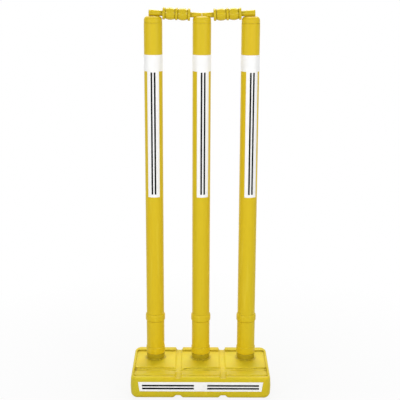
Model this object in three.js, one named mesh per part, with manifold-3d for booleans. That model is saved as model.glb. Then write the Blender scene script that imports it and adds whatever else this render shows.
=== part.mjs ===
// A moulded plastic cricket wicket: three hollow stumps in a hollow three-lobed base, two bails on top.
// X runs along the wicket, Y towards its back and Z up. Lengths are in millimetres and the origin is
// under the middle of the base. The label is on the front, and the filler plug is in the back.

import * as THREE from 'three';
import { mergeVertices } from 'three/addons/utils/BufferGeometryUtils.js';
import Module from 'manifold-3d';

const wasm = await Module();
wasm.setup();

// Fits
const seatGap = 0.3; // between two pieces that rest on or in each other
const overrun = 5; // how far a cutter runs past the face it leaves
const weldDistance = 0.0001;

// Wicket
const stumpPitch = 96;
const tubeLength = 619.9;
const tubeRadius = 18.25;
const tubeWall = 2;
const labelTurns = [0, 9, 12]; // degrees that each tube is turned about its axis, left to right

// Base
const baseOverhang = 47; // past the axis of each outer stump
const baseDepth = 160;
const baseHeight = 45.2;
const baseWall = 3;
const baseCorner = 14; // radius of the corners seen from above
const baseBulge = 1.2; // draft of the two ends either side of the parting line
const lowerEdge = { x: 8, y: 4, z: 8 };
const upperEdge = { x: 8, y: 4, z: 6 };
const stumpSetback = 46; // from the back face to the row of stumps

// Recesses, folds and channels in the top of the base
const panelDrop = 4; // below the rim
const panelLength = 83.5;
const backRim = 17;
const sideRim = 6;
const recessCorner = 5;
const recessFillet = 2;
const ledgeDrop = 1.8; // below the panel where the ledge starts
const ledgeLength = 44;
const ledgeTilt = 5; // degrees, rising to the front
const foldRadius = 5;
const foldDepth = 1.4;
const foldPlace = 11; // from the front end of the panel
const creaseRadius = 2.2;
const creaseDepth = 1.3;
const creasePlace = 43;
const foldMargin = 5; // between the end of a fold and the channel or rim beside it
const channelPitch = 92;
const channelWidth = 13.5;
const channelDrop = 7; // below the rim
const channelFloorRadius = 4;
const channelLip = 2;
const channelRunout = 26; // length over which the floor climbs to the front rim
const channelEndDrop = 1.6;
const footChannelWidth = 12.4;
const footChannelHeight = 4.5;
const footChannelRadius = 3;

// Sockets
const bossRadius = 19.3;
const bossHeight = 12; // above the panel
const bossFoot = 1.2; // flare where the boss meets the panel
const bossRound = 1;
const spigotRadius = 15.5;
const spigotLength = 40;
const spigotChamfer = 3;

// Filler
const plugRadius = 7.7;
const plugTaper = 0.5;
const plugHeadRadius = 10.5;
const plugHeadThickness = 2.6;
const plugShank = 8;
const plugSlotWidth = 2.4;
const plugSlotLength = 14;
const plugSlotDepth = 1.2;
const plugBead = 0.2;

// Foot of a stump, upwards from its seat on the boss
const footRadius = 18.7;
const footLength = 72.5; // up to the seam with the tube
const footWall = 3;
const ankleRadius = 19.8;
const ankleHeight = 15;
const ankleDraft = 0.5;
const ankleRound = 1.8; // height of its rounded upper edge
const neckRadius = tubeRadius - tubeWall - seatGap;
const neckLength = 26;

// Bulged collar at the lower end of the tube
const collarRadius = 20.4;
const collarHeight = 15.5;
const collarLip = 2.5; // height over which it swells out from the seam
const collarFade = 5; // height over which it draws in to the tube

// Cap
const capRadius = 18;
const capHeight = 12.7;
const capRound = 7.5;
const capWall = 2.6;
const capPlug = 18;

// Bails, each measured from its outer end towards the middle stump
const bailLength = 104.2;
const bailMiddleGap = 0.4;
const outerSpigotRadius = 6.3;
const outerSpigotTaper = 0.8;
const innerSpigotLength = 22.5;
const innerSpigotRadius = 5.3;
const innerSpigotTaper = 0.3;
const spigotRound = 0.8;
const flangeRadius = 12.1;
const flangeGap = 0.9; // between the side of the outer cap and the flange beside it
const flangeWidth = 4.8;
const flangeRound = 0.9;
const barrelRadius = 12.1;
const barrelEndRadius = 10.9;
const ringRadius = 12.1;
const ringWidth = 4.2;
const ringGroove = 0.9;
const outerSeatDepth = 0.1; // of the groove in the outer caps
const innerSeatDepth = 3.5; // of the groove in the middle cap

// Labels
const labelGap = 0.2;
const labelFilm = 0.25;
const labelTop = 74.3; // below the top of the stump
const labelHead = 32.4;
const labelStrip = 255.1;
const labelStripWidth = 23.3;
const labelSeam = 4; // left open at the back of the head
const plateMargin = 16; // from its upper corners to the ends of the base
const plateSlant = 3; // how much further in its lower corners are
const plateHeight = 20.4;
const plateRise = 15;

// Facets
const roundSteps = 28;
const bailSteps = 20;
const plugSteps = 24;
const wellSteps = 20;
const foldSteps = 10;
const arcSteps = 3;
const smallArcSteps = 2;
const barrelSteps = 4;
const outerFacets = { cornerSteps: 4, edgeSteps: 3, arcSteps: 3 };
const innerFacets = { cornerSteps: 2, edgeSteps: 2, arcSteps: 2 };

// Heights and places that follow from the sizes
const baseWidth = 2 * (stumpPitch + baseOverhang);
const plateTopWidth = baseWidth - 2 * plateMargin;
const plateBottomWidth = plateTopWidth - 2 * plateSlant;
const plateProud = labelGap + labelFilm;
const baseShift = plateProud / 2; // keeps the origin under the middle of base and label together
const backY = baseDepth / 2 + baseShift;
const frontY = backY - baseDepth;
const stumpY = backY - stumpSetback;
const stumpXs = [-stumpPitch, 0, stumpPitch];
const channelXs = [-channelPitch / 2, channelPitch / 2];
const panelZ = baseHeight - panelDrop;
const bossTopZ = panelZ + bossHeight;
const footZ = bossTopZ + seatGap;
const tubeZ = footZ + footLength + seatGap;
const tubeTopZ = tubeZ + tubeLength;
const capZ = tubeTopZ + seatGap;
const stumpTopZ = capZ + capHeight;
const tubeBore = tubeRadius - tubeWall;
const socketRadius = spigotRadius + seatGap;
const panelFrontY = backY - backRim - panelLength;
const ledgeZ = panelZ - ledgeDrop;
const ledgeAngle = THREE.MathUtils.degToRad(ledgeTilt);
const plugZ = (baseHeight - channelDrop + footChannelHeight) / 2;
const plugX = channelXs[1];
const plugRecess = plugHeadThickness + seatGap;

// Colours and finishes
const yellow = { color: 0xdcc21e, roughness: 0.42, metalness: 0 };
const paper = { color: 0xf4f4f2, roughness: 0.5, metalness: 0 };

// Turns a closed geometry into a solid whose faces point outwards.
function solidOf(geometry) {
  const bare = geometry.clone();
  bare.deleteAttribute('normal');
  bare.deleteAttribute('uv');
  const merged = mergeVertices(bare, weldDistance);
  const points = merged.getAttribute('position');
  const corners = Array.from(merged.getIndex().array);
  const triangles = [];
  const a = new THREE.Vector3();
  const b = new THREE.Vector3();
  const c = new THREE.Vector3();
  let volume = 0;
  for (let i = 0; i < corners.length; i += 3) {
    const [p, q, r] = corners.slice(i, i + 3);
    if (p === q || q === r || r === p) continue;
    a.fromBufferAttribute(points, p);
    b.fromBufferAttribute(points, q);
    c.fromBufferAttribute(points, r);
    volume += a.dot(b.cross(c));
    triangles.push([p, q, r]);
  }
  const outward = volume > 0 ? triangles : triangles.map(([p, q, r]) => [p, r, q]);
  const vertProperties = new Float32Array(points.array);
  const triVerts = new Uint32Array(outward.flat());
  return new wasm.Manifold(new wasm.Mesh({ numProp: 3, vertProperties, triVerts }));
}

function geometryOf(solid) {
  const { vertProperties, triVerts } = solid.getMesh();
  const geometry = new THREE.BufferGeometry();
  geometry.setAttribute('position', new THREE.BufferAttribute(vertProperties, 3));
  geometry.setIndex(new THREE.BufferAttribute(triVerts, 1));
  geometry.computeVertexNormals();
  return geometry;
}

function cutAll(solid, cutters) {
  return cutters.reduce((left, cutter) => left.subtract(cutter), solid);
}

// A solid of revolution about Z from [radius, height] points.
function turned(points, steps = roundSteps) {
  const profile = points.map(([radius, height]) => new THREE.Vector2(radius, height));
  return new THREE.LatheGeometry(profile, steps).rotateX(Math.PI / 2);
}

function cylinder(radius, bottom, top, steps = roundSteps) {
  return turned([[0, bottom], [radius, bottom], [radius, top], [0, top]], steps);
}

// Points along a quarter ellipse from one [radius, height] to another, leaving the first upright.
function quarter([fromR, fromZ], [toR, toZ], steps = arcSteps) {
  return Array.from({ length: steps + 1 }, (_, i) => {
    const angle = (i / steps) * Math.PI / 2;
    return [toR + (fromR - toR) * Math.cos(angle), fromZ + (toZ - fromZ) * Math.sin(angle)];
  });
}

// A slab with round corners in plan. Its lower and upper edges are quarter ellipses with their own
// draw along x, y and z. Where it has a bulge, its ends swell by that much at half height.
function roundedSlab({ width, depth, bottom, top, corner, lower, upper, bulge, facets }) {
  const levels = [];
  for (let i = 0; i <= facets.edgeSteps; i += 1) {
    const angle = (i / facets.edgeSteps) * Math.PI / 2;
    const draw = 1 - Math.sin(angle);
    levels.push({ x: lower.x * draw, y: lower.y * draw, z: bottom + lower.z * (1 - Math.cos(angle)) });
  }
  if (bulge) levels.push({ x: 0, y: 0, z: (bottom + top) / 2 });
  for (let i = 0; upper && i <= facets.edgeSteps; i += 1) {
    const angle = (i / facets.edgeSteps) * Math.PI / 2;
    const draw = 1 - Math.cos(angle);
    levels.push({ x: upper.x * draw, y: upper.y * draw, z: top - upper.z * (1 - Math.sin(angle)) });
  }
  if (!upper) levels.push({ x: 0, y: 0, z: top });
  const ringSize = 4 * (facets.cornerSteps + 1);
  const points = [];
  for (const level of levels) {
    const height = (2 * level.z - bottom - top) / (top - bottom);
    const inX = level.x + bulge * Math.abs(height);
    for (let i = 0; i < ringSize; i += 1) {
      const quadrant = Math.floor(i / (facets.cornerSteps + 1));
      const angle = (quadrant + (i % (facets.cornerSteps + 1)) / facets.cornerSteps) * Math.PI / 2;
      const sideX = quadrant === 0 || quadrant === 3 ? 1 : -1;
      const sideY = quadrant < 2 ? 1 : -1;
      const x = sideX * (width / 2 - corner) + (corner - inX) * Math.cos(angle);
      const y = sideY * (depth / 2 - corner) + (corner - level.y) * Math.sin(angle);
      points.push(x, y, level.z);
    }
  }
  const triangles = [];
  const topRing = (levels.length - 1) * ringSize;
  for (let i = 0; i < ringSize; i += 1) {
    const next = (i + 1) % ringSize;
    for (let ring = 0; ring < topRing; ring += ringSize) {
      triangles.push(ring + i, ring + next, ring + ringSize + next);
      triangles.push(ring + i, ring + ringSize + next, ring + ringSize + i);
    }
    if (i > 0 && i < ringSize - 1) {
      triangles.push(0, i + 1, i);
      triangles.push(topRing, topRing + i, topRing + i + 1);
    }
  }
  const geometry = new THREE.BufferGeometry();
  geometry.setAttribute('position', new THREE.Float32BufferAttribute(points, 3));
  geometry.setIndex(triangles);
  return geometry;
}

// Base

// One recess of the top, grown on all sides where the cavity follows it. It runs out above the rim.
function recess(length, floorZ, grow, facets) {
  const fillet = recessFillet + grow;
  return roundedSlab({
    width: baseWidth - 2 * sideRim + 2 * grow,
    depth: length + 2 * grow,
    bottom: floorZ - grow,
    top: floorZ + channelDrop + overrun,
    corner: recessCorner + grow,
    lower: { x: fillet, y: fillet, z: fillet },
    upper: null,
    bulge: 0,
    facets,
  });
}

function panelCut(grow, facets) {
  return recess(panelLength, panelZ, grow, facets).translate(0, panelFrontY + panelLength / 2, 0);
}

// The ledge in front of the panel starts lower and climbs to the front rim.
function ledgeCut(grow, facets) {
  return recess(ledgeLength, 0, grow, facets)
    .translate(0, -ledgeLength / 2, 0)
    .rotateX(-ledgeAngle)
    .translate(0, panelFrontY, ledgeZ);
}

// Shallow grooves across each lobe, round in section and at their ends.
function creases(radius, depth, place) {
  const side = baseWidth / 2 - sideRim - foldMargin;
  const edge = channelWidth / 2 + foldMargin;
  const spans = [[-side, channelXs[0] - edge], [channelXs[0] + edge, channelXs[1] - edge],
    [channelXs[1] + edge, side]];
  const z = ledgeZ + place * Math.tan(ledgeAngle) + radius - depth;
  return spans.map(([from, to]) => {
    const length = to - from - 2 * radius;
    const groove = new THREE.CapsuleGeometry(radius, length, outerFacets.arcSteps, foldSteps);
    return solidOf(groove.rotateZ(Math.PI / 2).translate((from + to) / 2, panelFrontY - place, z));
  });
}

// The section of a channel: round floor, upright walls and rounded lips, seen along y.
function channelSection(width, floorZ, radius, lip, lipZ, topZ) {
  const half = width / 2;
  const section = new THREE.Shape();
  section.moveTo(-half - lip, topZ);
  section.lineTo(-half - lip, lipZ);
  section.absarc(-half - lip, lipZ - lip, lip, Math.PI / 2, 0, true);
  section.absarc(-half + radius, floorZ + radius, radius, Math.PI, Math.PI * 1.5, false);
  section.absarc(half - radius, floorZ + radius, radius, Math.PI * 1.5, Math.PI * 2, false);
  section.absarc(half + lip, lipZ - lip, lip, Math.PI, Math.PI / 2, true);
  section.lineTo(half + lip, topZ);
  section.closePath();
  return section;
}

// Stands a section that was drawn in x and z up and runs it along y.
function alongY(section, length, facets = outerFacets) {
  const settings = { depth: length, bevelEnabled: false, curveSegments: facets.arcSteps };
  return new THREE.ExtrudeGeometry(section, settings).rotateX(Math.PI / 2).translate(0, length, 0);
}

// The floor of a top channel is level and then climbs to the front rim along an arc.
function topChannel(x, grow, facets) {
  const floorZ = baseHeight - channelDrop - grow;
  const endZ = baseHeight - channelEndDrop - grow;
  const topZ = baseHeight + overrun;
  const fromY = frontY - overrun;
  const toY = backY + overrun;
  const section = channelSection(channelWidth + 2 * grow, floorZ, channelFloorRadius + grow,
    channelLip, baseHeight, topZ);
  const run = alongY(section, toY - fromY, facets).translate(x, fromY, 0);
  const floor = new THREE.Shape();
  floor.moveTo(toY, topZ);
  floor.lineTo(fromY, topZ);
  floor.lineTo(fromY, endZ);
  floor.lineTo(frontY, endZ);
  floor.quadraticCurveTo(frontY + channelRunout / 2, floorZ, frontY + channelRunout, floorZ);
  floor.lineTo(toY, floorZ);
  floor.closePath();
  const width = channelWidth + 2 * (channelLip + grow + overrun);
  const settings = { depth: width, bevelEnabled: false, curveSegments: facets.arcSteps };
  const profile = new THREE.ExtrudeGeometry(floor, settings)
    .applyMatrix4(new THREE.Matrix4().makeBasis(
      new THREE.Vector3(0, 1, 0), new THREE.Vector3(0, 0, 1), new THREE.Vector3(1, 0, 0),
    ))
    .translate(x - width / 2, 0, 0);
  return solidOf(run).intersect(solidOf(profile));
}

// The channel under the base is the same groove upside down, open at both faces.
function footChannel(x, grow, facets) {
  const section = channelSection(footChannelWidth + 2 * grow, -footChannelHeight - grow,
    footChannelRadius + grow, channelLip, 0, overrun);
  const length = baseDepth + 2 * overrun;
  const run = alongY(section, length, facets);
  return solidOf(run.rotateY(Math.PI).translate(x, frontY - overrun, 0));
}

// The three lobes, drawn in by the wall where they stand for the cavity.
function lobes(inset, facets) {
  const slab = roundedSlab({
    width: baseWidth - 2 * inset,
    depth: baseDepth - 2 * inset,
    bottom: inset,
    top: baseHeight - inset,
    corner: baseCorner - inset,
    lower: { x: lowerEdge.x - inset, y: lowerEdge.y - inset, z: lowerEdge.z - inset },
    upper: { x: upperEdge.x - inset, y: upperEdge.y - inset, z: upperEdge.z - inset },
    bulge: baseBulge,
    facets,
  }).translate(0, (frontY + backY) / 2, 0);
  return cutAll(solidOf(slab), [
    solidOf(panelCut(inset, facets)),
    solidOf(ledgeCut(inset, facets)),
    ...channelXs.map((x) => topChannel(x, inset, facets)),
    ...channelXs.map((x) => footChannel(x, inset, facets)),
  ]);
}

function boss() {
  const skirt = bossRadius + bossFoot;
  const rounding = [bossRadius - bossRound, bossTopZ];
  return turned([
    [0, panelZ - baseWall / 2],
    [skirt, panelZ - baseWall / 2],
    ...quarter([bossRadius, panelZ + bossFoot], [skirt, panelZ], smallArcSteps).reverse(),
    ...quarter([bossRadius, bossTopZ - bossRound], rounding, smallArcSteps),
    [0, bossTopZ],
  ]);
}

// A round piece whose axis runs along y, from its front end to its back end.
function roundAlongY(radius, fromY, toY) {
  return cylinder(radius, -toY, -fromY, plugSteps).rotateX(Math.PI / 2).translate(plugX, 0, plugZ);
}

function baseShell() {
  const sockets = stumpXs.map((x) => solidOf(
    cylinder(socketRadius, baseWall, bossTopZ + overrun).translate(x, stumpY, 0),
  ));
  const wells = stumpXs.map((x) => solidOf(
    cylinder(socketRadius + baseWall, -overrun, bossTopZ, wellSteps).translate(x, stumpY, 0),
  ));
  const recessRadius = plugHeadRadius + seatGap;
  const neckEnd = backY - plugRecess - plugShank;
  const neckWall = solidOf(roundAlongY(recessRadius + baseWall, neckEnd, backY + overrun));
  const plugSeat = solidOf(roundAlongY(recessRadius, backY - plugRecess, backY + overrun));
  const plugBore = solidOf(roundAlongY(plugRadius + seatGap, neckEnd - overrun, backY));
  const cavity = cutAll(lobes(baseWall, innerFacets), [...wells, neckWall]);
  const bosses = stumpXs.map((x) => solidOf(boss().translate(x, stumpY, 0)));
  const outside = bosses.reduce((whole, one) => whole.add(one), lobes(0, outerFacets));
  const folds = creases(foldRadius, foldDepth, foldPlace);
  const creased = cutAll(outside, [...folds, ...creases(creaseRadius, creaseDepth, creasePlace)]);
  return cutAll(creased, [cavity, ...sockets, plugSeat, plugBore]);
}

// The plug is pushed in from the back, and a slot across its head takes a coin.
function fillerPlug() {
  const headZ = plugShank;
  const topZ = headZ + plugHeadThickness;
  const body = turned([
    [0, 0], [plugRadius - plugTaper - plugBead, 0], [plugRadius - plugTaper, plugBead],
    [plugRadius, headZ], [plugHeadRadius, headZ],
    [plugHeadRadius, topZ - plugBead], [plugHeadRadius - plugBead, topZ], [0, topZ],
  ], plugSteps);
  const slot = new THREE.BoxGeometry(plugSlotLength, plugSlotWidth, 2 * plugSlotDepth)
    .translate(0, 0, topZ);
  const plug = geometryOf(solidOf(body).subtract(solidOf(slot)));
  return plug.rotateX(-Math.PI / 2).translate(plugX, backY - topZ, plugZ);
}

function baseLabel() {
  const plate = new THREE.Shape();
  plate.moveTo(-plateBottomWidth / 2, plateRise);
  plate.lineTo(plateBottomWidth / 2, plateRise);
  plate.lineTo(plateTopWidth / 2, plateRise + plateHeight);
  plate.lineTo(-plateTopWidth / 2, plateRise + plateHeight);
  plate.closePath();
  const film = alongY(plate, labelFilm).translate(0, frontY - plateProud, 0);
  return geometryOf(solidOf(film));
}

// Stumps, each drawn about its own axis at its height in the wicket

function foot() {
  const bore = neckRadius - footWall;
  const spigotBore = spigotRadius - footWall;
  const spigotEnd = footZ - spigotLength;
  const seamZ = footZ + footLength;
  const neckTop = seamZ + neckLength;
  const ankleTop = footZ + ankleHeight;
  const ankle = quarter([ankleRadius, ankleTop - ankleRound], [footRadius, ankleTop], smallArcSteps);
  return geometryOf(solidOf(turned([
    [0, spigotEnd],
    [spigotRadius - spigotChamfer, spigotEnd],
    [spigotRadius, spigotEnd + spigotChamfer],
    [spigotRadius, footZ],
    [ankleRadius - ankleDraft, footZ],
    ...ankle,
    [footRadius, seamZ],
    [neckRadius, seamZ],
    [neckRadius, neckTop - footWall / 2],
    [neckRadius - footWall / 2, neckTop],
    [bore, neckTop],
    [bore, footZ],
    [spigotBore, footZ - footWall],
    [spigotBore, spigotEnd + footWall],
    [0, spigotEnd + footWall],
  ])));
}

function tube() {
  const collarTop = tubeZ + collarHeight;
  const bulge = quarter([collarRadius, collarTop - collarFade], [tubeRadius, collarTop]);
  const lip = quarter([collarRadius, tubeZ + collarLip], [footRadius, tubeZ]);
  return geometryOf(solidOf(turned([
    [tubeBore, tubeZ],
    ...lip.reverse(),
    ...bulge,
    [tubeRadius, tubeTopZ],
    [tubeBore, tubeTopZ],
    [tubeBore, tubeZ],
  ])));
}

// The axis of a bail drops from the groove of the outer cap to the deeper one of the middle cap.
const outerSeat = bailMiddleGap / 2 + bailLength - stumpPitch; // from the outer end to the outer axis
const outerSpigotLength = outerSeat + capRadius + flangeGap;
const innerSeat = capRadius / 2; // from the middle axis
const outerSeatRadius = outerSpigotRadius - outerSpigotTaper * (outerSeat / outerSpigotLength);
const outerAxisZ = stumpTopZ - outerSeatDepth + seatGap + outerSeatRadius;
const innerAxisZ = stumpTopZ - innerSeatDepth + seatGap + innerSpigotRadius;
const bailTilt = Math.atan2(outerAxisZ - innerAxisZ, stumpPitch - innerSeat);
const bailEndX = bailMiddleGap / 2 + bailLength;
const bailEndZ = outerAxisZ + (bailEndX - stumpPitch) * Math.tan(bailTilt);

// Lays a piece turned about Z down along X, with its foot at the outer end of the bail on one side.
function laidAsBail(geometry, side) {
  return geometry
    .rotateY(-side * (Math.PI / 2 + bailTilt))
    .translate(side * bailEndX, stumpY, bailEndZ);
}

// The two spigots of a bail with the gap around them, run out past the caps that they lie on.
function spigotSpace(side) {
  const outer = outerSpigotRadius + seatGap;
  const inner = innerSpigotRadius + seatGap;
  const tip = bailLength + bailMiddleGap;
  return solidOf(laidAsBail(turned([
    [0, -capRadius],
    [outer, -capRadius],
    [outer, 0],
    [outer - outerSpigotTaper, outerSpigotLength],
    [inner, bailLength - innerSpigotLength],
    [inner - innerSpigotTaper, tip],
    [0, tip],
  ], bailSteps), side));
}

function cap(x) {
  const plugEnd = capZ - capPlug;
  const bore = neckRadius - capWall;
  const ceiling = capZ + capWall;
  const dome = quarter([capRadius, stumpTopZ - capRound], [capRadius - capRound, stumpTopZ]);
  const body = solidOf(turned([
    [0, ceiling + capWall / 2],
    [bore / 2, ceiling + capWall / 2],
    [bore, ceiling - capWall / 2],
    [bore, plugEnd],
    [neckRadius - capWall / 4, plugEnd],
    [neckRadius, plugEnd + capWall],
    [neckRadius, capZ],
    [capRadius, capZ],
    ...dome,
    [0, stumpTopZ],
  ]).translate(x, stumpY, 0));
  return geometryOf(cutAll(body, [spigotSpace(-1), spigotSpace(1)])).translate(-x, -stumpY, 0);
}

// A T of film: the head wraps the tube up to a narrow seam at the back, the strip hangs from it.
function stumpLabel() {
  const inner = tubeRadius + labelGap;
  const outer = inner + labelFilm;
  const headTop = stumpTopZ - labelTop;
  const headBottom = headTop - labelHead;
  const stripBottom = headBottom - labelStrip;
  const reach = 2 * outer;
  const sleeve = (bottom, top) => solidOf(turned([
    [inner, bottom], [outer, bottom], [outer, top], [inner, top], [inner, bottom],
  ]));
  const seam = new THREE.BoxGeometry(labelSeam, reach, 2 * labelHead)
    .translate(0, reach / 2, headTop);
  const front = new THREE.BoxGeometry(labelStripWidth, reach, 2 * labelStrip)
    .translate(0, -reach / 2, headBottom);
  const head = sleeve(headBottom, headTop).subtract(solidOf(seam));
  const strip = sleeve(stripBottom, headBottom + labelHead / 2).intersect(solidOf(front));
  return geometryOf(head.add(strip));
}

// Bails

// One barrel between two radii, bulging to its full radius in the middle.
function barrel(from, to) {
  return Array.from({ length: barrelSteps + 1 }, (_, i) => {
    const share = i / barrelSteps;
    const swell = Math.sin(Math.PI * share);
    return [barrelEndRadius + (barrelRadius - barrelEndRadius) * swell, from + (to - from) * share];
  });
}

function flange(from) {
  const to = from + flangeWidth;
  return [
    [flangeRadius - flangeRound, from], [flangeRadius, from + flangeRound],
    [flangeRadius, to - flangeRound], [flangeRadius - flangeRound, to],
  ];
}

function bail(side) {
  const bodyStart = outerSpigotLength;
  const bodyEnd = bailLength - innerSpigotLength;
  const middle = (bodyStart + bodyEnd) / 2;
  const halfRing = ringWidth / 2;
  const profile = [
    [0, 0],
    [outerSpigotRadius - spigotRound, 0],
    [outerSpigotRadius, spigotRound],
    [outerSpigotRadius - outerSpigotTaper, bodyStart],
    ...flange(bodyStart),
    ...barrel(bodyStart + flangeWidth, middle - halfRing - ringGroove),
    [ringRadius, middle - halfRing],
    [ringRadius, middle + halfRing],
    ...barrel(middle + halfRing + ringGroove, bodyEnd - flangeWidth),
    ...flange(bodyEnd - flangeWidth),
    [innerSpigotRadius, bodyEnd],
    [innerSpigotRadius - innerSpigotTaper, bailLength - spigotRound],
    [innerSpigotRadius - innerSpigotTaper - spigotRound, bailLength],
    [0, bailLength],
  ];
  return geometryOf(solidOf(laidAsBail(turned(profile, bailSteps), side)));
}

// Assembly

function piece(name, geometry, finish) {
  const mesh = new THREE.Mesh(geometry, new THREE.MeshStandardMaterial(finish));
  mesh.name = name;
  return mesh;
}

const group = new THREE.Group();
group.add(piece('base_shell', geometryOf(baseShell()), yellow));
group.add(piece('filler_plug', fillerPlug(), yellow));
group.add(piece('base_label', baseLabel(), paper));

['left', 'middle', 'right'].forEach((place, i) => {
  const stump = new THREE.Group();
  const labelled = new THREE.Group();
  labelled.rotation.z = THREE.MathUtils.degToRad(labelTurns[i]);
  labelled.add(piece(`tube_${place}`, tube(), yellow));
  labelled.add(piece(`label_${place}`, stumpLabel(), paper));
  stump.add(piece(`foot_${place}`, foot(), yellow));
  stump.add(piece(`cap_${place}`, cap(stumpXs[i]), yellow));
  stump.add(labelled);
  stump.position.set(stumpXs[i], stumpY, 0);
  group.add(stump);
});

group.add(piece('bail_left', bail(-1), yellow));
group.add(piece('bail_right', bail(1), yellow));

export default group;
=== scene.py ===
import math

import bmesh
import bpy
import numpy as np
from mathutils import Matrix, Vector


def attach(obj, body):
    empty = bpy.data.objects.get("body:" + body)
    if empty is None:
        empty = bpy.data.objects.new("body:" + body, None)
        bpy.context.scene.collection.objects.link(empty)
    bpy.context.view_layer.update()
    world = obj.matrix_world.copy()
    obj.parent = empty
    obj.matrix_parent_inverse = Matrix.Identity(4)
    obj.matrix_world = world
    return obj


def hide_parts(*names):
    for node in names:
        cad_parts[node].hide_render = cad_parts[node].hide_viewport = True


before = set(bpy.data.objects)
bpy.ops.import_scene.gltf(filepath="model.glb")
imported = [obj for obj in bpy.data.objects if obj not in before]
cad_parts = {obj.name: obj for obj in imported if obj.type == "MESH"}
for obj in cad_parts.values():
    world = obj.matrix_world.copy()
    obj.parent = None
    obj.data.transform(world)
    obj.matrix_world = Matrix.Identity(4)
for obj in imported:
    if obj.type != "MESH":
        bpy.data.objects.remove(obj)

# A moulded plastic cricket wicket. Sizes are in millimetres here and become metres in each mesh.
mm = 0.001
weldDistance = 1e-7  # in metres
sharpAngle = math.radians(38)  # edges that turn further than this stay sharp
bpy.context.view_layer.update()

wicket = {
    "pitch": 96,  # between the axes of two stumps
    "rowY": 34.225,  # where the row of stumps stands
    "panelZ": 41.2,
    "bossTopZ": 53.2,
    "seatGap": 0.3,
    "topZ": 759.2,  # top of the caps
}
stumpX = {"left": -wicket["pitch"], "middle": 0, "right": wicket["pitch"]}

# Camera at the angle of the photograph
view = {
    "focal": 939.4,  # in pixels of the frame
    "frame": 400,
    "place": (-2.5, -1837.8, 859.6),
    "pitch": 14.144,  # degrees below the horizon
    "roll": 0.21,
    "sensor": 36,
}
cameraData = bpy.data.cameras.new("studioCamera")
cameraData.sensor_width = view["sensor"]
cameraData.lens = view["sensor"] * view["focal"] / view["frame"]
cameraObject = bpy.data.objects.new("studioCamera", cameraData)
bpy.context.scene.collection.objects.link(cameraObject)
cameraObject.location = Vector(view["place"]) * mm
lookDown = Matrix.Rotation(math.radians(90 - view["pitch"]), 4, "X")
cameraObject.rotation_euler = (lookDown @ Matrix.Rotation(math.radians(view["roll"]), 4, "Z")).to_euler()
bpy.context.scene.camera = cameraObject
print("camera placed")


# Materials
def linear(color):
    # sRGB from 0 to 255 to the linear colour that sockets hold
    return tuple((c / 255 / 12.92) if c < 10 else ((c / 255 + 0.055) / 1.055) ** 2.4 for c in color) + (1,)


def startMaterial(name):
    material = bpy.data.materials.new(name)
    material.use_nodes = True
    tree = material.node_tree
    return material, tree, tree.nodes["Principled BSDF"]


def addNode(tree, kind, inputs=None, **settings):
    node = tree.nodes.new(kind)
    for name, value in settings.items():
        setattr(node, name, value)
    for socket, value in (inputs or {}).items():
        node.inputs[socket].default_value = value
    return node


def link(tree, pairs):
    for source, target in pairs:
        tree.links.new(source, target)


def mathNode(tree, operation, first, second=None):
    node = addNode(tree, "ShaderNodeMath", operation=operation)
    for socket, value in zip(node.inputs, (first, second)):
        if isinstance(value, (int, float)):
            socket.default_value = value
        elif value is not None:
            tree.links.new(value, socket)
    return node.outputs[0]


def objectNoise(tree, stretch, scale, detail, roughness=0.5):
    # noise on Object coordinates, drawn out along an axis by a small stretch value
    place = addNode(tree, "ShaderNodeTexCoord")
    mapping = addNode(tree, "ShaderNodeMapping", {"Scale": stretch})
    noise = addNode(tree, "ShaderNodeTexNoise", {"Scale": scale, "Detail": detail, "Roughness": roughness})
    tree.links.new(place.outputs["Object"], mapping.inputs["Vector"])
    tree.links.new(mapping.outputs["Vector"], noise.inputs["Vector"])
    return noise.outputs["Fac"]


def spread(tree, source, low, high, fromLow=0.3, fromHigh=0.7):
    ramp = addNode(tree, "ShaderNodeMapRange", {"From Min": fromLow, "From Max": fromHigh,
                                               "To Min": low, "To Max": high})
    tree.links.new(source, ramp.inputs["Value"])
    return ramp.outputs["Result"]


def blendColors(tree, factor, first, second):
    mix = addNode(tree, "ShaderNodeMix", data_type="RGBA")
    tree.links.new(factor, mix.inputs["Factor"])
    for socket, color in ((mix.inputs[6], first), (mix.inputs[7], second)):
        if isinstance(color, tuple):
            socket.default_value = color
        else:
            tree.links.new(color, socket)
    return mix.outputs[2]


def addBump(tree, height, distance, strength, normal=None):
    bump = addNode(tree, "ShaderNodeBump", {"Distance": distance, "Strength": strength})
    tree.links.new(height, bump.inputs["Height"])
    if normal:
        tree.links.new(normal, bump.inputs["Normal"])
    return bump.outputs["Normal"]


# Colours are sRGB from 0 to 255. The main one is broken up by the other three.
stumpYellow = {
    "main": (223, 194, 27), "warm": (222, 185, 20), "green": (208, 190, 32), "pale": (231, 208, 60),
}
baseYellow = {
    "main": (214, 192, 32), "warm": (216, 184, 22), "green": (200, 188, 38), "pale": (224, 204, 66),
}
bailYellow = {
    "main": (215, 188, 28), "warm": (214, 182, 20), "green": (203, 185, 33), "pale": (221, 200, 56),
}
plastic = {
    "ior": 1.51, "specular": 0.2,
    "blotchScale": 22, "fineScale": 160, "mainShare": (0.35, 0.75),
    "rubbedShare": 0.55, "rubbedFrom": (0.55, 0.75),
    "waveDepth": 0.0012, "waveStrength": 0.25, "peelScale": 900, "peelDepth": 0.00012,
}
# painted shade: ambient occlusion mixes this darker colour into the plastic in creases, recesses and
# between parts
paintedHollowShade = {"color": (128, 108, 14), "reach": 0.007, "closed": 0.45, "open": 0.92, "samples": 8}
# painted shadow on the boss walls beneath the feet of the stumps
bossPaintedShadow = {"color": (160, 141, 20), "dark": 0.7, "inside": 19.6, "outside": 20.6, "fadeIn": (0.4, 1.6)}
film = {"cloudScale": 70, "cloudShade": 0.93, "cloudShare": 0.5, "grainScale": 240, "grainDepth": 0.0001,
        "grainStrength": 0.25}


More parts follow.
